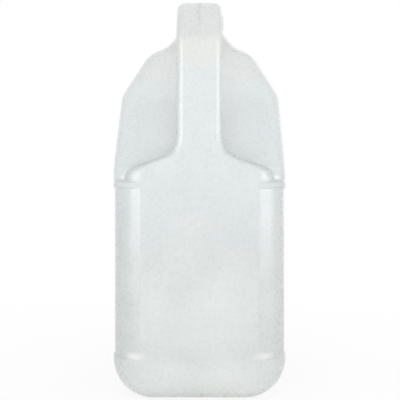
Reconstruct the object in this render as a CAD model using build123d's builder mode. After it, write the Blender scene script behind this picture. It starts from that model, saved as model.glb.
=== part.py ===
import os
from math import acos, atan2, cos, hypot, pi, sin
from build123d import *

os.makedirs("parts", exist_ok=True)

# Driving dimensions of the bottle, in millimetres.
body_width = 124.6
body_depth = 160.0
base_edge_radius = 29.0
post_radius = 24.0
panel_low = 30.5
panel_high = 152.5
bumper_height = 4.5
shoulder_rise = 121.0
eave_rise = 63.0
grip_recess = 60.0
panel_depth = 0.7
panel_run_out = 3.0
panel_bevel = 1.6
ledge_chamfer = 2.0
push_up_width = 45.0
push_up_length = 94.0
push_up_height = 4.0
push_up_corner = 9.0
push_up_taper = 25.0
channel_width = 16.0
channel_depth = 0.9
wall = 1.0

# Driving dimensions of the hollow handle.
handle_width = 32.2
handle_thickness = 24.0
handle_edge_radius = 5.5
handle_bend_radius = 23.0
arm_drop = 0.35
arm_engagement = 2.5
handle_foot_rise = 38.0
handle_top_rise = 130.5

# Driving dimensions of the contents.
water_level = 236.0
water_gap = 0.15

# Driving dimensions of the neck finish and its closure.
neck_diameter = 32.2
neck_wall = 1.8
neck_length = 15.0
bead_height = 1.15
bead_thickness = 1.3
bead_clearance = 0.2
closure_gap = 0.22
cap_wall = 1.1
cap_top_thickness = 1.2
cap_edge_radius = 1.1
cap_shoulder = 0.15
rib_count = 36
rib_depth = 0.25
rib_width = 1.2
ring_height = 4.4
ring_clearance = 0.3
bridge_gap = 0.4
lip_clearance = 0.3
ring_lip_rise = 0.8
liner_thickness = 0.9

# Places that follow from the dimensions above.
half_width = body_width / 2
half_depth = body_depth / 2
half_handle = handle_width / 2
bumper_top = panel_high + bumper_height
neck_base = bumper_top + shoulder_rise
eave_z = bumper_top + eave_rise
handle_foot = bumper_top + handle_foot_rise
handle_top = bumper_top + handle_top_rise
neck_y = grip_recess / 2
neck_radius = neck_diameter / 2
bore_radius = neck_radius - neck_wall
bead_radius = neck_radius + bead_height
skirt_radius = bead_radius + closure_gap
cap_radius = skirt_radius + cap_wall
rim_z = neck_base + neck_length
ring_bottom = neck_base + ring_clearance
ring_top = ring_bottom + ring_height
cap_bottom = ring_top + bridge_gap
bead_z = ring_top - bead_clearance - bead_thickness
cap_inner_top = rim_z + liner_thickness
cap_top = cap_inner_top + cap_top_thickness


# One level of a loft: a rectangle with its own rear and front corner radii.
def level(z, half, rear, front, rear_radius, front_radius, inset):
    room = min(half, (front - rear) / 2) - inset - 0.05
    with BuildSketch(Plane.XY.offset(z)) as outline:
        with Locations((0, (rear + front) / 2)):
            Rectangle(2 * (half - inset), front - rear - 2 * inset)
        fillet(outline.vertices().group_by(Axis.Y)[0], min(rear_radius - inset, room))
        fillet(outline.vertices().group_by(Axis.Y)[-1], min(front_radius - inset, room))
    return outline.sketch


# The band that is cut away around the label panels, with bevelled ends to the panels.
def panel_band(inset):
    with BuildPart() as band:
        with BuildSketch(Plane.XY.offset(panel_low - inset)):
            Rectangle(2.4 * half_width, 2.4 * half_depth)
            RectangleRounded(2 * (half_width - inset - panel_depth),
                             2 * (half_depth - inset + panel_depth),
                             post_radius - inset + panel_run_out, mode=Mode.SUBTRACT)
        extrude(amount=panel_high - panel_low + 2 * inset)
        rims = [edge for face in (band.faces().sort_by(Axis.Z)[0], band.faces().sort_by(Axis.Z)[-1])
                for edge in face.inner_wires()[0].edges()]
        chamfer(rims, panel_bevel)
    return band.part


# Lower body: broad rounded foot, and label panels set in at the sides that run out on the
# rear and front faces.
def lower_body(inset):
    with BuildPart() as lower:
        with BuildSketch(Plane.XZ) as front_view:
            with Locations((0, bumper_top / 2)):
                Rectangle(2 * (half_width - inset), bumper_top - 2 * inset)
            fillet(front_view.vertices().group_by(Axis.Y)[0], base_edge_radius - inset)
        extrude(amount=half_depth - inset, both=True)
        ends = [edge for edge in lower.edges()
                if abs(abs(edge.center().Y) - half_depth + inset) < 0.01
                and edge.center().Z < bumper_top - inset - 0.1]
        fillet(ends, post_radius - inset)
        chamfer(lower.faces().sort_by(Axis.Z)[-1].edges(), ledge_chamfer)
        add(panel_band(inset), mode=Mode.SUBTRACT)
        # The foot: a push-up in the middle and a shallow channel along the mould line.
        with BuildSketch(Plane.XY):
            RectangleRounded(push_up_width + 2 * inset, push_up_length + 2 * inset,
                             push_up_corner + inset)
        extrude(amount=push_up_height + inset, taper=push_up_taper, mode=Mode.SUBTRACT)
        with BuildSketch(Plane.XY):
            Rectangle(channel_width + 2 * inset, 2.2 * half_depth)
        extrude(amount=channel_depth + inset, mode=Mode.SUBTRACT)
    return lower.part


# Upper body: grip slope at the rear, flat sides, pitched shoulders and a round dome.
slope_rear_radius = 14.0
front_corner_radius = 22.0
roof_rear_radius = 13.0
dome_corner_radius = 28.0
# Slope rows: height above the bumper, step in at the sides, distance ahead of the rear face.
slope_rows = [
    (-12.0, 1.8, 10.0),
    (2.5, 0.0, 9.4),
    (10.0, 0.0, 12.0),
    (18.0, 0.1, 18.0),
    (49.0, 0.1, 47.6),
    (55.0, 0.1, 53.4),
    (60.5, 0.3, 57.6),
]
# Roof rows: height above the bumper, share of the way from the walls to the dome's edge.
roof_rows = [(65.0, 0.03), (69.0, 0.08), (73.5, 0.155), (98.0, 0.62), (102.0, 0.73),
             (105.0, 0.86)]
# Dome rows: height above the bumper, half width, half depth.
dome_rows = [(107.4, 34.2, 28.4), (109.4, 30.6, 26.8), (112.0, 27.0, 25.0), (116.0, 23.2, 22.8)]
dome_edge = (34.0, 28.5)
crown_radius = neck_radius + 3.4
reference_rise = 121.0
reference_recess = 60.0


def upper_body(inset):
    tall = shoulder_rise / reference_rise
    deep = grip_recess / reference_recess
    room = half_depth - neck_y
    levels = []
    for rise, side, ahead in slope_rows:
        drop = inset * min(1.0, max(0.0, rise / 20.0))
        levels.append(level(bumper_top + rise * tall - drop, half_width - side,
                            ahead * deep - half_depth, half_depth - side, slope_rear_radius,
                            front_corner_radius, inset))
    for rise, share in roof_rows:
        half = half_width + share * (dome_edge[0] - half_width)
        deepness = room + share * (dome_edge[1] - room)
        rear_corner = roof_rear_radius + share * (dome_corner_radius - roof_rear_radius)
        front_corner = front_corner_radius + share * (dome_corner_radius - front_corner_radius)
        levels.append(level(bumper_top + rise * tall - inset, half, neck_y - deepness,
                            neck_y + deepness, rear_corner, front_corner, inset))
    for rise, half, deepness in dome_rows:
        levels.append(level(bumper_top + rise * tall - inset, half, neck_y - deepness,
                            neck_y + deepness, half, half, inset))
    levels.append(level(neck_base - inset, crown_radius, neck_y - crown_radius,
                        neck_y + crown_radius, crown_radius, crown_radius, inset))
    with BuildPart() as upper:
        loft(sections=levels, ruled=True)
    return upper.part


# Rear block: the rear end of the body, flush with its rear face and gathered upwards into
# the foot of the handle. Each row: height above the bumper, half width, depth, rear and
# front corner radii.
block_rows = [
    (-12.0, 53.9, 46.0, 22, 9),
    (-1.0, 53.8, 46.0, 14, 9),
    (3.0, 53.0, 45.0, 13, 9),
    (6.8, 50.8, 44.0, 12, 9),
    (9.6, 46.6, 43.0, 11, 9),
    (11.8, 40.3, 41.8, 10, 9),
    (14.0, 34.0, 40.2, 9, 8),
    (16.4, 27.3, 38.4, 8.5, 8),
    (18.4, 23.1, 36.2, 7.5, 7.5),
    (21.6, 19.5, 32.2, 6.5, 7),
    (26.0, 17.0, 27.8, 5.7, 6),
    (32.0, 16.1, 24.6, 5.5, 5.5),
]
reference_handle = (16.1, 24.0)
reference_half_width = 62.3


def rear_block(inset):
    tall = handle_foot_rise / 38.0
    levels = []
    for rise, half, depth, rear_radius, front_radius in block_rows:
        drop = inset if rise > 0 else 0.0
        near_foot = max(0.0, min(1.0, (rise - 8.0) / 24.0))
        widen = (near_foot * (half_handle - reference_handle[0])
                 + (1 - near_foot) * (half_width - reference_half_width))
        deepen = near_foot * (handle_thickness - reference_handle[1])
        levels.append(level(bumper_top + rise * tall - drop, half + widen, -half_depth,
                            depth + deepen - half_depth, rear_radius, front_radius, inset))
    levels.append(level(handle_foot, half_handle, -half_depth, handle_thickness - half_depth,
                        handle_edge_radius, handle_edge_radius, inset))
    with BuildPart() as block:
        loft(sections=levels, ruled=True)
    return block.part


# Handle: one hollow tube from the rear block up, round a bend and down into the dome. The arm
# falls just far enough for its top to reach the neck a small drop below the neck's base.
def handle_tube(inset):
    half_thickness = handle_thickness / 2
    leg_y = half_thickness - half_depth
    centre_y = leg_y + handle_bend_radius
    centre_z = handle_top - half_thickness - handle_bend_radius
    ahead = neck_y - neck_radius - centre_y
    above = neck_base - arm_drop - centre_z
    fall = atan2(ahead, above) - acos((handle_bend_radius + half_thickness) / hypot(ahead, above))
    turn = pi / 2 + fall
    arm_y = centre_y + handle_bend_radius * sin(fall)
    arm_z = centre_z + handle_bend_radius * cos(fall)
    reach = (neck_y - neck_radius + arm_engagement - inset - arm_y) / cos(fall)
    with BuildPart() as tube:
        with BuildLine():
            Line((0, leg_y, handle_foot), (0, leg_y, centre_z))
            ThreePointArc((0, leg_y, centre_z),
                          (0, centre_y - handle_bend_radius * cos(turn / 2),
                           centre_z + handle_bend_radius * sin(turn / 2)),
                          (0, arm_y, arm_z))
            Line((0, arm_y, arm_z), (0, arm_y + reach * cos(fall), arm_z - reach * sin(fall)))
        with BuildSketch(Plane.XY.offset(handle_foot)):
            with Locations((0, leg_y)):
                RectangleRounded(2 * (half_handle - inset), 2 * (half_thickness - inset),
                                 handle_edge_radius - inset)
        sweep()
    return tube.part


# The body's own form, the handle's form, and the whole of the inside a given distance in.
def body_form(inset):
    with BuildPart() as form:
        add([lower_body(inset), upper_body(inset)])
    return form.part


def handle_form(inset):
    with BuildPart() as form:
        add([rear_block(inset), handle_tube(inset)])
    return form.part


def inside_form(inset):
    with BuildPart() as form:
        add([body_form(inset), handle_form(inset)])
    return form.part


outer_body = body_form(0.0)
outer_handle = handle_form(0.0)
hollow = inside_form(wall)
water_form = inside_form(wall + water_gap)
upward = (Align.CENTER, Align.CENTER, Align.MIN)

# Jug shell: foot, bumpers, label panels and walls up to the eave, open towards the handle
# and the shoulder, which are blown in one with it.
with BuildPart() as jug_shell:
    add(outer_body)
    add(hollow, mode=Mode.SUBTRACT)
    split(bisect_by=Plane.XY.offset(eave_z), keep=Keep.BOTTOM)
jug_shell.part.label = "jug_shell"
export_step(jug_shell.part, "parts/jug_shell.step")

# Shoulder: pitched roof and round dome, with the bore of the neck and the mouth of the handle.
with BuildPart() as jug_shoulder:
    add(outer_body)
    add(hollow, mode=Mode.SUBTRACT)
    with Locations((0, neck_y, neck_base - 2 * wall)):
        Cylinder(bore_radius, 3 * wall, align=upward, mode=Mode.SUBTRACT)
    split(bisect_by=Plane.XY.offset(eave_z), keep=Keep.TOP)
jug_shoulder.part.label = "jug_shoulder"
export_step(jug_shoulder.part, "parts/jug_shoulder.step")

# Handle: the hollow rear block, leg, bend and arm, as far as they stand out of the body.
with BuildPart() as jug_handle:
    add(outer_handle)
    add([outer_body, hollow], mode=Mode.SUBTRACT)
jug_handle.part.label = "jug_handle"
export_step(jug_handle.part, "parts/jug_handle.step")

# Neck finish: a plain tube with the bead that holds the tamper ring down.
with BuildPart() as neck_finish:
    with Locations((0, neck_y, neck_base)):
        Cylinder(neck_radius, neck_length, align=upward)
    with Locations((0, neck_y, bead_z)):
        Cylinder(bead_radius, bead_thickness, align=upward)
    with Locations((0, neck_y, neck_base)):
        Cylinder(bore_radius, neck_length, align=upward, mode=Mode.SUBTRACT)
neck_finish.part.label = "neck_finish"
export_step(neck_finish.part, "parts/neck_finish.step")

# Water: fills the body and the leg of the handle up to one level.
with BuildPart() as water:
    add(water_form)
    with Locations((0, 0, water_level)):
        Box(3 * half_width, 3 * half_depth, neck_base, align=upward, mode=Mode.SUBTRACT)
water.part.label = "water"
export_step(water.part, "parts/water.step")

# Tamper ring: stays on the neck, held down by the bead.
with BuildPart() as tamper_ring:
    with BuildSketch(Plane.XZ.offset(-neck_y)):
        with BuildLine():
            Polyline((neck_radius + closure_gap, ring_bottom), (cap_radius, ring_bottom),
                     (cap_radius, ring_top), (skirt_radius, ring_top),
                     (skirt_radius, bead_z - lip_clearance),
                     (neck_radius + closure_gap, bead_z - lip_clearance - ring_lip_rise),
                     close=True)
        make_face()
    revolve(axis=Axis((0, neck_y, 0), (0, 0, 1)))
tamper_ring.part.label = "tamper_ring"
export_step(tamper_ring.part, "parts/tamper_ring.step")

# Liner: soft disc between the rim of the neck and the cap.
with BuildPart() as cap_liner:
    with Locations((0, neck_y, rim_z)):
        Cylinder(skirt_radius - closure_gap, liner_thickness, align=upward)
cap_liner.part.label = "cap_liner"
export_step(cap_liner.part, "parts/cap_liner.step")

# Screw cap: ribbed skirt under a flat top with a rounded edge.
with BuildPart() as screw_cap:
    with Locations((0, neck_y, cap_bottom)):
        Cylinder(cap_radius - cap_shoulder, cap_top - cap_bottom, align=upward)
    fillet(screw_cap.edges().group_by(Axis.Z)[-1], cap_edge_radius)
    with BuildSketch(Plane.XY.offset(cap_bottom)):
        with Locations((0, neck_y)):
            Circle(cap_radius)
            with PolarLocations(cap_radius, rib_count):
                Rectangle(2 * rib_depth, rib_width)
    extrude(amount=cap_top - cap_edge_radius - 2 * cap_shoulder - cap_bottom)
    with Locations((0, neck_y, cap_bottom)):
        Cylinder(skirt_radius, cap_inner_top - cap_bottom, align=upward, mode=Mode.SUBTRACT)
screw_cap.part.label = "screw_cap"
export_step(screw_cap.part, "parts/screw_cap.step")
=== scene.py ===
import math

import bmesh
import bpy
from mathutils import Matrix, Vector
from mathutils.bvhtree import BVHTree


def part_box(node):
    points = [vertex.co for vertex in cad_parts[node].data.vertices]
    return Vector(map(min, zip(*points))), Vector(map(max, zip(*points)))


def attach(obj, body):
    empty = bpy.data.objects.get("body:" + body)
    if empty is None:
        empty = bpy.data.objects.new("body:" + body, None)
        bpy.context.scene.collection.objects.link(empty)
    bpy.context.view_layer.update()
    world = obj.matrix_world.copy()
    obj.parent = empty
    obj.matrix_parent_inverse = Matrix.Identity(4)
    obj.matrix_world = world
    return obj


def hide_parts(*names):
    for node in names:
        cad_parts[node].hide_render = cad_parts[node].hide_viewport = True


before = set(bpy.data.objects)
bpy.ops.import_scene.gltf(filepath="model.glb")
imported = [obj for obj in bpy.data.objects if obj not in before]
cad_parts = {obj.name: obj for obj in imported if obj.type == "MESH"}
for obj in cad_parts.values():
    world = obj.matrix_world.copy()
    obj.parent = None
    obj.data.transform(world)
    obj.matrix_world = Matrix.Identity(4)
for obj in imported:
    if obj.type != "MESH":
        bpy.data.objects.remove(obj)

MM = 0.001

# Heights and places of the jug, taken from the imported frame, in metres.
HANDLE_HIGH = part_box("jug_handle")[1]
NECK_LOW, NECK_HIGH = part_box("neck_finish")
RING_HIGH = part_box("tamper_ring")[1]
CAP_LOW, CAP_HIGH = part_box("screw_cap")
WATER_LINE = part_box("water")[1].z
NECK_Y = (NECK_LOW.y + NECK_HIGH.y) / 2

# Sizes of the neck and the cap that the frame's boxes don't give.
NECK_RADIUS = 16.1 * MM
SKIRT_RADIUS = 17.47 * MM
THREAD_PITCH = 4.2 * MM


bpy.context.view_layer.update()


# Modelling helpers. Points of a copied node that lie closer than this become one.
COPY_MERGE = 0.004 * MM


def make_active(piece):
    bpy.ops.object.select_all(action="DESELECT")
    piece.select_set(True)
    bpy.context.view_layer.objects.active = piece


def start_edit(piece, kind="FACE"):
    make_active(piece)
    bpy.ops.object.mode_set(mode="EDIT")
    bpy.ops.mesh.select_mode(type=kind)
    bpy.ops.mesh.select_all(action="DESELECT")


def end_edit():
    bpy.ops.object.mode_set(mode="OBJECT")


def pick_faces(piece, test):
    mesh = bmesh.from_edit_mesh(piece.data)
    for face in mesh.faces:
        face.select_set(test(face.calc_center_median(), face.normal))
    bmesh.update_edit_mesh(piece.data)


def pick_points(piece, test):
    mesh = bmesh.from_edit_mesh(piece.data)
    for point in mesh.verts:
        point.select_set(test(point.co))
    mesh.select_flush(True)
    bmesh.update_edit_mesh(piece.data)


def name_piece(piece, name):
    piece.name = name
    piece.data.name = name
    return piece


def seat_in_mesh(piece):
    make_active(piece)
    bpy.ops.object.transform_apply(location=True, rotation=True, scale=True)


def apply_modifier(piece, kind, **settings):
    make_active(piece)
    modifier = piece.modifiers.new(kind.title(), kind)
    for key, value in settings.items():
        setattr(modifier, key, value)
    bpy.ops.object.modifier_apply(modifier=modifier.name)


def round_edges(piece, width, segments, angle):
    apply_modifier(piece, "BEVEL", width=width, segments=segments, limit_method="ANGLE",
                   angle_limit=math.radians(angle))


def set_material(piece, material):
    piece.data.materials.clear()
    piece.data.materials.append(material)


def copy_of_node(node, name):
    piece = bpy.data.objects.new(name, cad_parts[node].data.copy())
    bpy.context.collection.objects.link(piece)
    piece.data.name = name
    start_edit(piece, "VERT")
    bpy.ops.mesh.select_all(action="SELECT")
    bpy.ops.mesh.customdata_custom_splitnormals_clear()
    bpy.ops.mesh.remove_doubles(threshold=COPY_MERGE)
    end_edit()
    return piece


def smooth(piece, angle):
    """Shades faces as one wherever they meet at less than this angle, in degrees."""
    make_active(piece)
    bpy.ops.object.shade_smooth_by_angle(angle=math.radians(angle), keep_sharp_edges=False)


# Shader helpers.
def colour(red, green, blue):
    """A colour given as it should look, 0 to 255, as the linear values that a shader takes."""
    def linear(value):
        share = value / 255
        return share / 12.92 if share <= 0.04045 else ((share + 0.055) / 1.055) ** 2.4
    return (linear(red), linear(green), linear(blue), 1.0)


def new_material(name):
    material = bpy.data.materials.new(name)
    material.use_nodes = True
    tree = material.node_tree
    return material, tree, tree.nodes["Principled BSDF"]


def add_node(tree, kind, **settings):
    node = tree.nodes.new(kind)
    for key, value in settings.items():
        if key in node.inputs:
            node.inputs[key].default_value = value
        else:
            setattr(node, key, value)
    return node


def feed(tree, value, socket):
    """Links another node's output to a socket, or sets a constant on it."""
    if hasattr(value, "is_linked"):
        tree.links.new(value, socket)
    else:
        socket.default_value = value


def combine(tree, operation, first, second=0.0):
    node = add_node(tree, "ShaderNodeMath", operation=operation)
    feed(tree, first, node.inputs[0])
    feed(tree, second, node.inputs[1])
    return node.outputs["Value"]


def times(tree, first, second):
    return combine(tree, "MULTIPLY", first, second)


def object_place(tree, stretch=(1.0, 1.0, 1.0)):
    place = add_node(tree, "ShaderNodeTexCoord")
    mapping = add_node(tree, "ShaderNodeMapping", Scale=stretch)
    tree.links.new(place.outputs["Object"], mapping.inputs["Vector"])
    return mapping.outputs["Vector"]


def part_of(tree, vector, axis):
    split = add_node(tree, "ShaderNodeSeparateXYZ")
    tree.links.new(vector, split.inputs["Vector"])
    return split.outputs[axis]


def height(tree):
    return part_of(tree, object_place(tree), "Z")


def depth(tree):
    return part_of(tree, object_place(tree), "Y")


def across(tree):
    """Distance from the plane where the two halves of the mould meet."""
    return combine(tree, "ABSOLUTE", part_of(tree, object_place(tree), "X"))


def noise(tree, place, scale, detail=2.0, rough=0.5):
    node = add_node(tree, "ShaderNodeTexNoise", Scale=scale, Detail=detail, Roughness=rough)
    tree.links.new(place, node.inputs["Vector"])
    return node.outputs["Fac"]


def spread(tree, value, low, high, start=0.0, end=1.0):
    """Takes the values from start to end to those from low to high, and holds them beyond."""
    node = add_node(tree, "ShaderNodeMapRange")
    node.inputs["From Min"].default_value = start
    node.inputs["From Max"].default_value = end
    node.inputs["To Min"].default_value = low
    node.inputs["To Max"].default_value = high
    tree.links.new(value, node.inputs["Value"])
    return node.outputs["Result"]


def rising(tree, value, reach):
    return spread(tree, value, 0.0, 1.0, *reach)


def falling(tree, value, reach):
    return spread(tree, value, 1.0, 0.0, *reach)


def near(tree, value, centre, reach):
    """1 within a distance of a value, falling to 0 further off."""
    offset = combine(tree, "SUBTRACT", value, centre)
    return falling(tree, combine(tree, "ABSOLUTE", offset), reach)


def between(tree, value, rise, fall):
    """0 before a band of values, 1 inside it and 0 beyond it."""
    return times(tree, rising(tree, value, rise), falling(tree, value, fall))


def ramp(tree, value, stops):
    node = add_node(tree, "ShaderNodeValToRGB")
    marks = node.color_ramp.elements
    while len(marks) < len(stops):
        marks.new(0.5)
    for mark, (place, tone) in zip(marks, stops):
        mark.position = place
        mark.color = tone
    tree.links.new(value, node.inputs["Fac"])
    return node.outputs["Color"]


def blend_colours(tree, share, first, second, mode="MIX"):
    node = add_node(tree, "ShaderNodeMix", data_type="RGBA", blend_type=mode)
    feed(tree, share, node.inputs[0])
    feed(tree, first, node.inputs[6])
    feed(tree, second, node.inputs[7])
    return node.outputs[2]


def mix_shaders(tree, share, first, second):
    mix = add_node(tree, "ShaderNodeMixShader")
    tree.links.new(share, mix.inputs["Fac"])
    tree.links.new(first, mix.inputs[1])
    tree.links.new(second, mix.inputs[2])
    return mix.outputs["Shader"]


def add_bump(tree, shader, layers):
    """layers: (height value, depth in metres), stacked on each other."""
    below = None
    for value, rise in layers:
        node = add_node(tree, "ShaderNodeBump", Strength=1.0, Distance=rise)
        tree.links.new(value, node.inputs["Height"])
        if below:
            tree.links.new(below, node.inputs["Normal"])
        below = node.outputs["Normal"]
    tree.links.new(below, shader.inputs["Normal"])


# Milky high-density polyethylene, blown thin enough to let the light and the water line through.
# Its tone by share of the jug's height is painted light and shade: lighter at the foot and high
# up, darker low on the body, with a narrow change at the water line.
WATER_SHARE = WATER_LINE / HANDLE_HIGH.z
LINE_HALF = 0.004
HEIGHT_TONES_AND_SHADE = [
    (0.0, colour(242, 245, 243)),
    (0.11, colour(220, 224, 222)),
    (0.38, colour(222, 227, 227)),
    (0.70, colour(233, 239, 240)),
    (WATER_SHARE - LINE_HALF, colour(233, 239, 239)),
    (WATER_SHARE + LINE_HALF, colour(235, 237, 235)),
    (1.0, colour(232, 235, 233)),
]

# The handle's leg, by depth. The water line hangs lower in its middle than at its edges.
LEG_DEPTH = (-78 * MM, -62 * MM)
LEG_TONE = colour(240, 240, 240)
SAG = 5.0 * MM
SAG_ACROSS = 13 * MM

# Painted light on the wall behind the handle, lifting the shade that the handle casts there:
# where it fades out sideways and along the depth.
BEHIND_ACROSS = (14 * MM, 46 * MM)
BEHIND_REAR = (-62 * MM, -50 * MM)
BEHIND_FRONT = (-12 * MM, 12 * MM)
BEHIND_HANDLE_PAINTED_LIGHT = colour(250, 252, 252)

# Thicker clouds in the wall, and streaks drawn out along the height.
CLOUD_RANGE = (0.35, 0.75)
CLOUD_SHARE = 0.30
CLOUD_TONE = colour(236, 238, 236)
STREAK_STRETCH = (1.0, 1.0, 0.06)
STREAK_RANGE = (0.4, 0.8)
STREAK_SHARE = 0.07
STREAK_TONE = colour(218, 222, 221)

# Painted highlights on the corners of the rim under the panels, and the duller rim above them.
LOW_RIM = 33.8 * MM
LOW_RIM_REACH = (1.0 * MM, 3.2 * MM)
CORNER_INNER = (37 * MM, 43 * MM)
CORNER_OUTER = (47 * MM, 53 * MM)
RIM_HIGHLIGHT_RANGE = (0.3, 0.7)
RIM_HIGHLIGHT_SHARES = (0.35, 0.65)
RIM_HIGHLIGHT_TONE = colour(255, 255, 255)
HIGH_RIM = 153.6 * MM
HIGH_RIM_REACH = (1.8 * MM, 3.2 * MM)
HIGH_RIM_DULL = 0.3

# The mould line: a faint darker mark where the handle bends over, and a fine ridge all round.
MARK_ACROSS = (0.5 * MM, 1.6 * MM)
MARK_HEIGHT = (262 * MM, 268 * MM)
MARK_SHARE = 0.5
MARK_TONE = colour(210, 215, 214)
SEAM_ACROSS = (0.05 * MM, 0.35 * MM)

# How deep each layer of the surface goes, and how rough the peel makes it.
STREAK_DEPTH = 0.003 * MM
PEEL_DEPTH = 0.004 * MM
GRAIN_DEPTH = 0.0008 * MM
SEAM_DEPTH = 0.03 * MM
PEEL_RANGE = (0.3, 0.7)
PEEL_ROUGHNESS = (0.24, 0.34)
PLASTIC_IOR = 1.5
JUG_ALPHA = 0.62


# Painted light and shade by height, with the handle's leg darkened by depth.
def tone_by_height(tree):
    leg = falling(tree, depth(tree), LEG_DEPTH)
    side = across(tree)
    off_middle = spread(tree, times(tree, side, side), 0.0, SAG, 0.0, SAG_ACROSS ** 2)
    level = combine(tree, "SUBTRACT", height(tree), times(tree, leg, off_middle))
    tone = ramp(tree, rising(tree, level, (0.0, HANDLE_HIGH.z)), HEIGHT_TONES_AND_SHADE)
    return blend_colours(tree, leg, tone, LEG_TONE, "MULTIPLY")


def milky_plastic():
    material, tree, shader = new_material("milky_jug_plastic")
    clouds = noise(tree, object_place(tree), scale=38.0, detail=3.0)
    streaks = noise(tree, object_place(tree, STREAK_STRETCH), scale=260.0, detail=4.0, rough=0.6)
    grain = noise(tree, object_place(tree), scale=2600.0, detail=3.0, rough=0.6)
    peel = noise(tree, object_place(tree), scale=420.0)

    # Painted light behind the handle, laid over the shade that the handle casts there.
    painted_light_behind_handle = times(tree, falling(tree, across(tree), BEHIND_ACROSS),
                          between(tree, depth(tree), BEHIND_REAR, BEHIND_FRONT))
    tone = blend_colours(tree, painted_light_behind_handle, tone_by_height(tree), BEHIND_HANDLE_PAINTED_LIGHT)
    cloudy = spread(tree, clouds, 0.0, CLOUD_SHARE, *CLOUD_RANGE)
    tone = blend_colours(tree, cloudy, tone, CLOUD_TONE)
    streaky = spread(tree, streaks, 0.0, STREAK_SHARE, *STREAK_RANGE)
    tone = blend_colours(tree, streaky, tone, STREAK_TONE)
    # Painted highlight on the corners of the rim under the panels, broken up by the clouds.
    rim_highlight = times(tree, near(tree, height(tree), LOW_RIM, LOW_RIM_REACH),
                   between(tree, across(tree), CORNER_INNER, CORNER_OUTER))
    rim_highlight = times(tree, rim_highlight, spread(tree, clouds, *RIM_HIGHLIGHT_SHARES, *RIM_HIGHLIGHT_RANGE))
    tone = blend_colours(tree, rim_highlight, tone, RIM_HIGHLIGHT_TONE)
    mark = times(tree, falling(tree, across(tree), MARK_ACROSS),
                 spread(tree, height(tree), 0.0, MARK_SHARE, *MARK_HEIGHT))
    tone = blend_colours(tree, mark, tone, MARK_TONE)
    tree.links.new(tone, shader.inputs["Base Color"])

    rim = near(tree, height(tree), HIGH_RIM, HIGH_RIM_REACH)
    roughness = combine(tree, "ADD", spread(tree, peel, *PEEL_ROUGHNESS, *PEEL_RANGE),
                        spread(tree, rim, 0.0, HIGH_RIM_DULL))
    tree.links.new(roughness, shader.inputs["Roughness"])
    seam = falling(tree, across(tree), SEAM_ACROSS)
    add_bump(tree, shader, [(streaks, STREAK_DEPTH), (peel, PEEL_DEPTH), (grain, GRAIN_DEPTH),
                            (seam, SEAM_DEPTH)])
    shader.inputs["IOR"].default_value = PLASTIC_IOR
    shader.inputs["Alpha"].default_value = JUG_ALPHA
    return material


# Still water, a little darker towards the foot.
WATER_TONES = [
    (0.0, colour(205, 213, 210)),
    (0.6, colour(208, 219, 219)),
    (1.0, colour(212, 224, 225)),
]
STIR_SHARE = 0.15
STIR_TONE = colour(198, 212, 214)
STIR_ROUGHNESS = (0.04, 0.08)
WATER_IOR = 1.33
WATER_ALPHA = 0.35


def water_material():
    material, tree, shader = new_material("still_water")
    tone = ramp(tree, rising(tree, height(tree), (0.0, WATER_LINE)), WATER_TONES)
    stir = noise(tree, object_place(tree), scale=14.0)
    tone = blend_colours(tree, spread(tree, stir, 0.0, STIR_SHARE), tone, STIR_TONE)
    tree.links.new(tone, shader.inputs["Base Color"])
    tree.links.new(spread(tree, stir, *STIR_ROUGHNESS), shader.inputs["Roughness"])
    shader.inputs["IOR"].default_value = WATER_IOR
    shader.inputs["Alpha"].default_value = WATER_ALPHA
    return material


# White polypropylene of the cap and its ring.
CAP_TONES = (colour(216, 220, 221), colour(208, 212, 213))
MOTTLE_SHARE = 0.5
MOTTLE_ROUGHNESS = (0.28, 0.40)
MOTTLE_DEPTH = 0.02 * MM
CAP_GRAIN_DEPTH = 0.008 * MM
CAP_SCATTER = 0.15
CAP_SCATTER_REACH = 2 * MM


def cap_plastic():
    material, tree, shader = new_material("white_cap_plastic")
    mottle = noise(tree, object_place(tree), scale=160.0, detail=3.0)
    grain = noise(tree, object_place(tree), scale=2200.0, detail=3.0)
    tone = blend_colours(tree, spread(tree, mottle, 0.0, MOTTLE_SHARE), *CAP_TONES)
    tree.links.new(tone, shader.inputs["Base Color"])
    tree.links.new(spread(tree, mottle, *MOTTLE_ROUGHNESS), shader.inputs["Roughness"])
    add_bump(tree, shader, [(mottle, MOTTLE_DEPTH), (grain, CAP_GRAIN_DEPTH)])
    shader.inputs["IOR"].default_value = PLASTIC_IOR
    shader.inputs["Subsurface Weight"].default_value = CAP_SCATTER
    shader.inputs["Subsurface Scale"].default_value = CAP_SCATTER_REACH
    return material


# Foamed polyethylene of the liner, with its closed cells.
FOAM_TONES = (colour(238, 238, 232), colour(222, 222, 214))
CELL_SHARE = 0.6
CELL_DEPTH = 0.04 * MM


def liner_material():
    material, tree, shader = new_material("foam_liner")
    voronoi = add_node(tree, "ShaderNodeTexVoronoi", Scale=2400.0)
    tree.links.new(object_place(tree), voronoi.inputs["Vector"])
    cells = voronoi.outputs["Distance"]
    tone = blend_colours(tree, spread(tree, cells, 0.0, CELL_SHARE), *FOAM_TONES)
    tree.links.new(tone, shader.inputs["Base Color"])
    add_bump(tree, shader, [(cells, CELL_DEPTH)])
    shader.inputs["Roughness"].default_value = 0.8
    return material


# The bottle: the four forms of the moulding joined into one smooth skin. A face lies on
# another piece's skin when it is this close to it and faces the other way.
ROOT_DEPTH = 0.6 * MM
SKIN_GAP = 0.05 * MM
SKIN_FACING = -0.6
JOIN_MERGE = 0.01 * MM
WALL_SMOOTH = 32


def weld_on(piece, part):
    make_active(piece)
    joint = piece.modifiers.new("Join", "BOOLEAN")
    joint.operation = "UNION"
    joint.solver = "EXACT"
    joint.object = part
    bpy.ops.object.modifier_apply(modifier=joint.name)
    bpy.data.objects.remove(part)


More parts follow.
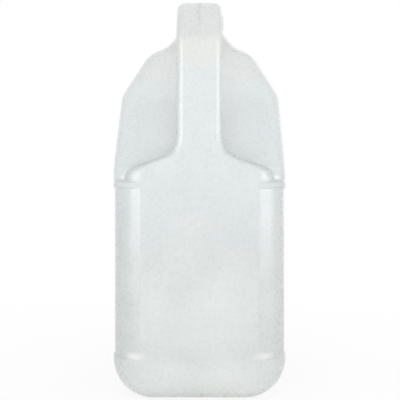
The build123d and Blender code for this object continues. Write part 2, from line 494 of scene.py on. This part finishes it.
def sink_root(part, wall_piece, reach):
    """Grows the faces of a part that lie flat on another piece's skin into that piece's wall."""
    skin = bmesh.new()
    skin.from_mesh(wall_piece.data)
    nearest = BVHTree.FromBMesh(skin)
    skin.free()

    def on_skin(centre, normal):
        _, facing, _, gap = nearest.find_nearest(centre)
        return gap < SKIN_GAP and facing.dot(normal) < SKIN_FACING

    start_edit(part)
    pick_faces(part, on_skin)
    bpy.ops.mesh.extrude_region_shrink_fatten(TRANSFORM_OT_shrink_fatten={"value": reach})
    end_edit()


def build_bottle(material):
    bottle = copy_of_node("jug_shell", "bottle")
    weld_on(bottle, copy_of_node("jug_shoulder", "shoulder_copy"))
    handle = copy_of_node("jug_handle", "handle_copy")
    sink_root(handle, bottle, ROOT_DEPTH)
    weld_on(bottle, handle)
    weld_on(bottle, copy_of_node("neck_finish", "neck_copy"))
    # Closes the few slivers that the joins leave open.
    start_edit(bottle, "VERT")
    bpy.ops.mesh.select_all(action="SELECT")
    bpy.ops.mesh.remove_doubles(threshold=JOIN_MERGE)
    bpy.ops.mesh.select_all(action="DESELECT")
    bpy.ops.mesh.select_non_manifold(use_wire=False, use_multi_face=False,
                                     use_non_contiguous=False)
    bpy.ops.mesh.fill_holes(sides=0)
    end_edit()
    smooth(bottle, WALL_SMOOTH)
    apply_modifier(bottle, "WEIGHTED_NORMAL", keep_sharp=True)
    set_material(bottle, material)
    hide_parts("jug_shell", "jug_shoulder", "jug_handle", "neck_finish")
    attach(bottle, "jug")
    return bottle


def build_water(material):
    fill = copy_of_node("water", "water_fill")
    smooth(fill, WALL_SMOOTH)
    set_material(fill, material)
    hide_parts("water")
    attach(fill, "jug")


# Threads: a ridge wound round the neck, and its match inside the cap half a pitch higher.
# The root is sunk into its wall and the crest stands out of it.
THREAD_WIDTH = 1.7 * MM
THREAD_TURNS = 1.45
THREAD_STEPS = 104
THREAD_START = NECK_HIGH.z - 8.4 * MM
THREAD_ROOT = 0.15 * MM
THREAD_RISE = 0.95 * MM
THREAD_CREST_SHARE = 0.45
THREAD_BEVEL = 0.14 * MM
THREAD_SMOOTH = 50
FADE_TURNS = 0.22
FADE_LEAST = 0.02
CREST_REACH = 0.01 * MM
RIDGE_MERGE = 0.001 * MM


def close_skin(piece):
    start_edit(piece, "VERT")
    bpy.ops.mesh.select_all(action="SELECT")
    bpy.ops.mesh.remove_doubles(threshold=RIDGE_MERGE)
    bpy.ops.mesh.fill_holes(sides=0)
    bpy.ops.mesh.select_all(action="SELECT")
    bpy.ops.mesh.normals_make_consistent(inside=False)
    end_edit()


def fade_thread_ends(piece, root, turns):
    """Lets the ridge sink into its wall over the last part of a turn at each end."""
    start_edit(piece, "VERT")
    mesh = bmesh.from_edit_mesh(piece.data)
    low = min(point.co.z for point in mesh.verts)
    high = max(point.co.z for point in mesh.verts)
    for point in mesh.verts:
        along = (point.co.z - low) / (high - low) * turns
        share = min(1.0, along / FADE_TURNS, (turns - along) / FADE_TURNS)
        far = math.hypot(point.co.x, point.co.y)
        scale = (root + (far - root) * max(share, FADE_LEAST)) / far
        point.co.x *= scale
        point.co.y *= scale
    bmesh.update_edit_mesh(piece.data)
    end_edit()


def wind_thread(name, root, crest, low, material, body):
    middle = (root + crest) / 2
    bpy.ops.mesh.primitive_plane_add(size=1.0, location=(middle, 0, low),
                                     rotation=(math.pi / 2, 0, 0))
    piece = name_piece(bpy.context.object, name)
    piece.scale = (abs(crest - root), THREAD_WIDTH, 1.0)
    seat_in_mesh(piece)
    start_edit(piece, "VERT")
    pick_points(piece, lambda point: abs(point.x - crest) < CREST_REACH)
    bpy.ops.transform.resize(value=(1.0, 1.0, THREAD_CREST_SHARE),
                             center_override=(crest, 0.0, low))
    bpy.ops.mesh.select_all(action="SELECT")
    bpy.ops.mesh.delete(type="ONLY_FACE")
    end_edit()
    apply_modifier(piece, "SCREW", axis="Z", angle=THREAD_TURNS * 2 * math.pi,
                   screw_offset=THREAD_TURNS * THREAD_PITCH,
                   steps=THREAD_STEPS, render_steps=THREAD_STEPS)
    close_skin(piece)
    fade_thread_ends(piece, root, THREAD_TURNS)
    round_edges(piece, THREAD_BEVEL, segments=2, angle=40)
    start_edit(piece, "VERT")
    bpy.ops.mesh.select_all(action="SELECT")
    bpy.ops.transform.translate(value=(0.0, NECK_Y, 0.0))
    end_edit()
    smooth(piece, THREAD_SMOOTH)
    set_material(piece, material)
    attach(piece, body)


def add_threads(plastic, cap_material):
    wind_thread("neck_thread", NECK_RADIUS - THREAD_ROOT, NECK_RADIUS + THREAD_RISE,
                THREAD_START, plastic, "jug")
    wind_thread("cap_thread", SKIRT_RADIUS + THREAD_ROOT, SKIRT_RADIUS - THREAD_RISE,
                THREAD_START + THREAD_PITCH / 2, cap_material, "cap")


# Fine ridges where the two halves of the mould meet, pressed onto the bottle from one side.
FROM_ABOVE = -1
FROM_BELOW = 1
SEAM_WIDTH = 0.5 * MM
SEAM_RISE = 0.12 * MM
PINCH_RISE = 0.35 * MM
STRIP_CUTS = 80
STRIP_BEVEL = 0.4
STRIP_SMOOTH = 40
UNDER_FOOT = -3.0 * MM
# Name, start and end along the depth, side and rise.
MOULD_LINES = [
    ("foot_pinch_line", -64 * MM, 64 * MM, FROM_BELOW, PINCH_RISE),
    ("shoulder_seam", 50.2 * MM, 77.5 * MM, FROM_ABOVE, SEAM_RISE),
    ("handle_seam", -78.6 * MM, 13.4 * MM, FROM_ABOVE, SEAM_RISE),
]


def lay_strip(name, bottle, start, end, side):
    level = CAP_HIGH.z if side == FROM_ABOVE else UNDER_FOOT
    bpy.ops.mesh.primitive_plane_add(size=1.0, location=(0, (start + end) / 2, level))
    piece = name_piece(bpy.context.object, name)
    piece.scale = (SEAM_WIDTH, end - start, 1.0)
    seat_in_mesh(piece)
    start_edit(piece, "EDGE")
    mesh = bmesh.from_edit_mesh(piece.data)
    for edge in mesh.edges:
        edge.select_set(abs(edge.verts[0].co.y - edge.verts[1].co.y) > SEAM_WIDTH)
    bmesh.update_edit_mesh(piece.data)
    bpy.ops.mesh.subdivide(number_cuts=STRIP_CUTS)
    end_edit()
    apply_modifier(piece, "SHRINKWRAP", target=bottle, wrap_method="PROJECT", use_project_z=True,
                   use_positive_direction=side == FROM_BELOW,
                   use_negative_direction=side == FROM_ABOVE)
    return piece


def raise_strip(piece, rise, material):
    apply_modifier(piece, "SOLIDIFY", thickness=2 * rise, offset=0.0)
    close_skin(piece)
    round_edges(piece, STRIP_BEVEL * rise, segments=1, angle=60)
    smooth(piece, STRIP_SMOOTH)
    set_material(piece, material)
    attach(piece, "jug")


def add_mould_lines(bottle, material):
    for name, start, end, side, rise in MOULD_LINES:
        raise_strip(lay_strip(name, bottle, start, end, side), rise, material)


# The cap's top: a recess and a gate mark, as steps inwards and upwards in millimetres.
CAP_STEPS = ((1.1, 0.0), (0.35, -0.35), (11.0, 0.0), (0.4, -0.2), (1.4, 0.0), (0.3, 0.25),
             (0.5, 0.05))
CAP_SMOOTH = 35
TOP_FACING = 0.999
TOP_REACH = 0.01 * MM
TOP_FLAT_ANGLE = 1


def build_cap(material):
    cap = copy_of_node("screw_cap", "cap_body")
    start_edit(cap)
    pick_faces(cap, lambda centre, normal: normal.z > TOP_FACING
               and centre.z > CAP_HIGH.z - TOP_REACH)
    bpy.ops.mesh.dissolve_limited(angle_limit=math.radians(TOP_FLAT_ANGLE))
    for inward, rise in CAP_STEPS:
        bpy.ops.mesh.inset(thickness=inward * MM, depth=rise * MM)
    end_edit()
    smooth(cap, CAP_SMOOTH)
    set_material(cap, material)
    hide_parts("screw_cap")
    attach(cap, "cap")


# The bridges that join cap and ring until the first opening, parted half way. Each half is
# rooted in its own piece and stands in from the outside of the cap.
BRIDGE_COUNT = 12
BRIDGE_WIDTH = 1.1 * MM
BRIDGE_DEPTH = 0.7 * MM
BRIDGE_BREAK = 0.05 * MM
BRIDGE_ROOT = 0.15 * MM
BRIDGE_INSET = 0.75 * MM
BRIDGE_BEVEL = 0.05 * MM
BRIDGE_SMOOTH = 40


def add_bridges(name, low, high, material, body):
    """A row of small posts round the neck."""
    far = CAP_HIGH.y - NECK_Y - BRIDGE_INSET
    bpy.ops.mesh.primitive_cube_add(size=1.0, location=(far, NECK_Y, (low + high) / 2))
    piece = name_piece(bpy.context.object, name)
    piece.scale = (BRIDGE_DEPTH, BRIDGE_WIDTH, high - low)
    seat_in_mesh(piece)
    start_edit(piece, "EDGE")
    bpy.ops.mesh.select_all(action="SELECT")
    bpy.ops.mesh.bevel(offset=BRIDGE_BEVEL, segments=2)
    bpy.ops.mesh.select_all(action="SELECT")
    for _ in range(BRIDGE_COUNT - 1):
        bpy.ops.mesh.duplicate()
        bpy.ops.transform.rotate(value=2 * math.pi / BRIDGE_COUNT, orient_axis="Z",
                                 center_override=(0.0, NECK_Y, 0.0))
    end_edit()
    smooth(piece, BRIDGE_SMOOTH)
    set_material(piece, material)
    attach(piece, body)


# Studio: the camera looks level from behind the handle. The column of its axis and the row of
# its horizon are those of the photograph, in pixels from the left and from the top.
EYE = Vector((7.0 * MM, -620.0 * MM, 155.0 * MM))
FRAME_PIXELS = 400
FOCAL_PIXELS = 775.6
HORIZON_ROW = 182.8
AXIS_COLUMN = 209.2
SENSOR = 36.0
CLIP_START = 0.01

# Strength of the soft light all round, on the handle side and on the neck side, and the two
# values of a direction's Y between which one goes over into the other.
FILL_BEFORE = 1.30
FILL_BEHIND = 0.84
FILL_TURN = (-1.0, -0.1)

# Seen directly the floor is white light, a little less so close to the jug, where the shadow
# shows: share of that light, and distances from the middle.
FLOOR_SIZE = 8.0
FLOOR_TONE = colour(246, 246, 246)
FLOOR_GLOW = (0.85, 1.0)
FLOOR_REACH = (0.10, 0.55)
WHITE = (1.0, 1.0, 1.0, 1.0)

# Name, place, target, width and length in metres, and power in watts. A card is a lamp that
# only shows as a reflection.
JUG_MIDDLE = (0.0, 0.0, 0.15)
LAMPS = [
    ("soft_lamp", (0.02, -1.15, 0.18), JUG_MIDDLE, 1.2, 0.8, 3.7),
    ("foot_lamp", (0.0, -0.36, 0.015), (0.0, -0.07, 0.012), 0.3, 0.02, 0.15),
    ("neck_side_lamp", (0.55, 1.15, 0.45), JUG_MIDDLE, 1.0, 0.8, 1.6),
]
CARDS = [
    ("right_card", (0.93, -0.60, 0.27), JUG_MIDDLE, 0.95, 0.5, 9.5),
    ("left_card", (-0.74, -0.82, 0.27), JUG_MIDDLE, 0.95, 0.5, 9.5),
]


def add_camera():
    bpy.ops.object.camera_add(location=EYE, rotation=(math.pi / 2, 0, 0))
    camera = bpy.context.object
    camera.name = "camera"
    camera.data.sensor_width = SENSOR
    camera.data.lens = FOCAL_PIXELS / FRAME_PIXELS * SENSOR
    camera.data.shift_x = (FRAME_PIXELS / 2 - AXIS_COLUMN) / FRAME_PIXELS
    camera.data.shift_y = (HORIZON_ROW - FRAME_PIXELS / 2) / FRAME_PIXELS
    camera.data.clip_start = CLIP_START
    bpy.context.scene.camera = camera


def seen_directly(tree):
    """1 for the rays that show a background: straight to the camera, mirrored or let through."""
    path = add_node(tree, "ShaderNodeLightPath")
    total = path.outputs["Is Camera Ray"]
    for name in ("Is Glossy Ray", "Is Transmission Ray"):
        total = combine(tree, "MAXIMUM", total, path.outputs[name])
    return total


def light_world():
    world = bpy.data.worlds.new("studio_air")
    bpy.context.scene.world = world
    world.use_nodes = True
    tree = world.node_tree
    tree.nodes.clear()
    fill = add_node(tree, "ShaderNodeBackground", Color=WHITE)
    ahead = part_of(tree, add_node(tree, "ShaderNodeTexCoord").outputs["Generated"], "Y")
    tree.links.new(spread(tree, ahead, FILL_BEFORE, FILL_BEHIND, *FILL_TURN),
                   fill.inputs["Strength"])
    white = add_node(tree, "ShaderNodeBackground", Color=WHITE, Strength=1.0)
    air = mix_shaders(tree, seen_directly(tree), fill.outputs["Background"],
                      white.outputs["Background"])
    out = add_node(tree, "ShaderNodeOutputWorld")
    tree.links.new(air, out.inputs["Surface"])


def lay_floor():
    bpy.ops.mesh.primitive_plane_add(size=FLOOR_SIZE, location=(0, 0, 0))
    floor = name_piece(bpy.context.object, "studio_floor")
    material, tree, shader = new_material("pale_floor")
    shader.inputs["Base Color"].default_value = FLOOR_TONE
    shader.inputs["Roughness"].default_value = 0.9
    glow = add_node(tree, "ShaderNodeEmission", Color=WHITE, Strength=1.0)
    away = add_node(tree, "ShaderNodeVectorMath", operation="LENGTH")
    tree.links.new(object_place(tree), away.inputs[0])
    share = times(tree, spread(tree, away.outputs["Value"], *FLOOR_GLOW, *FLOOR_REACH),
                  seen_directly(tree))
    surface = mix_shaders(tree, share, shader.outputs["BSDF"], glow.outputs["Emission"])
    tree.links.new(surface, tree.nodes["Material Output"].inputs["Surface"])
    set_material(floor, material)


def add_lamp(name, place, target, width, length, power):
    bpy.ops.object.light_add(type="AREA", location=place)
    lamp = bpy.context.object
    lamp.name = name
    lamp.data.shape = "RECTANGLE"
    lamp.data.size = width
    lamp.data.size_y = length
    lamp.data.energy = power
    lamp.rotation_euler = (Vector(target) - Vector(place)).to_track_quat("-Z", "Y").to_euler()
    lamp.visible_camera = False
    return lamp


def light_studio():
    for settings in LAMPS:
        add_lamp(*settings)
    for settings in CARDS:
        card = add_lamp(*settings)
        card.visible_diffuse = False
        card.visible_transmission = False


plastic = milky_plastic()
white_cap = cap_plastic()
bottle = build_bottle(plastic)
add_mould_lines(bottle, plastic)
add_threads(plastic, white_cap)
build_cap(white_cap)
break_height = (RING_HIGH.z + CAP_LOW.z) / 2
add_bridges("ring_bridges", RING_HIGH.z - BRIDGE_ROOT, break_height - BRIDGE_BREAK / 2,
            white_cap, "jug")
add_bridges("cap_bridges", break_height + BRIDGE_BREAK / 2, CAP_LOW.z + BRIDGE_ROOT,
            white_cap, "cap")
build_water(water_material())
set_material(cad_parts["tamper_ring"], white_cap)
set_material(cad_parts["cap_liner"], liner_material())
bpy.context.scene.view_settings.view_transform = "Standard"
add_camera()
light_world()
lay_floor()
light_studio()
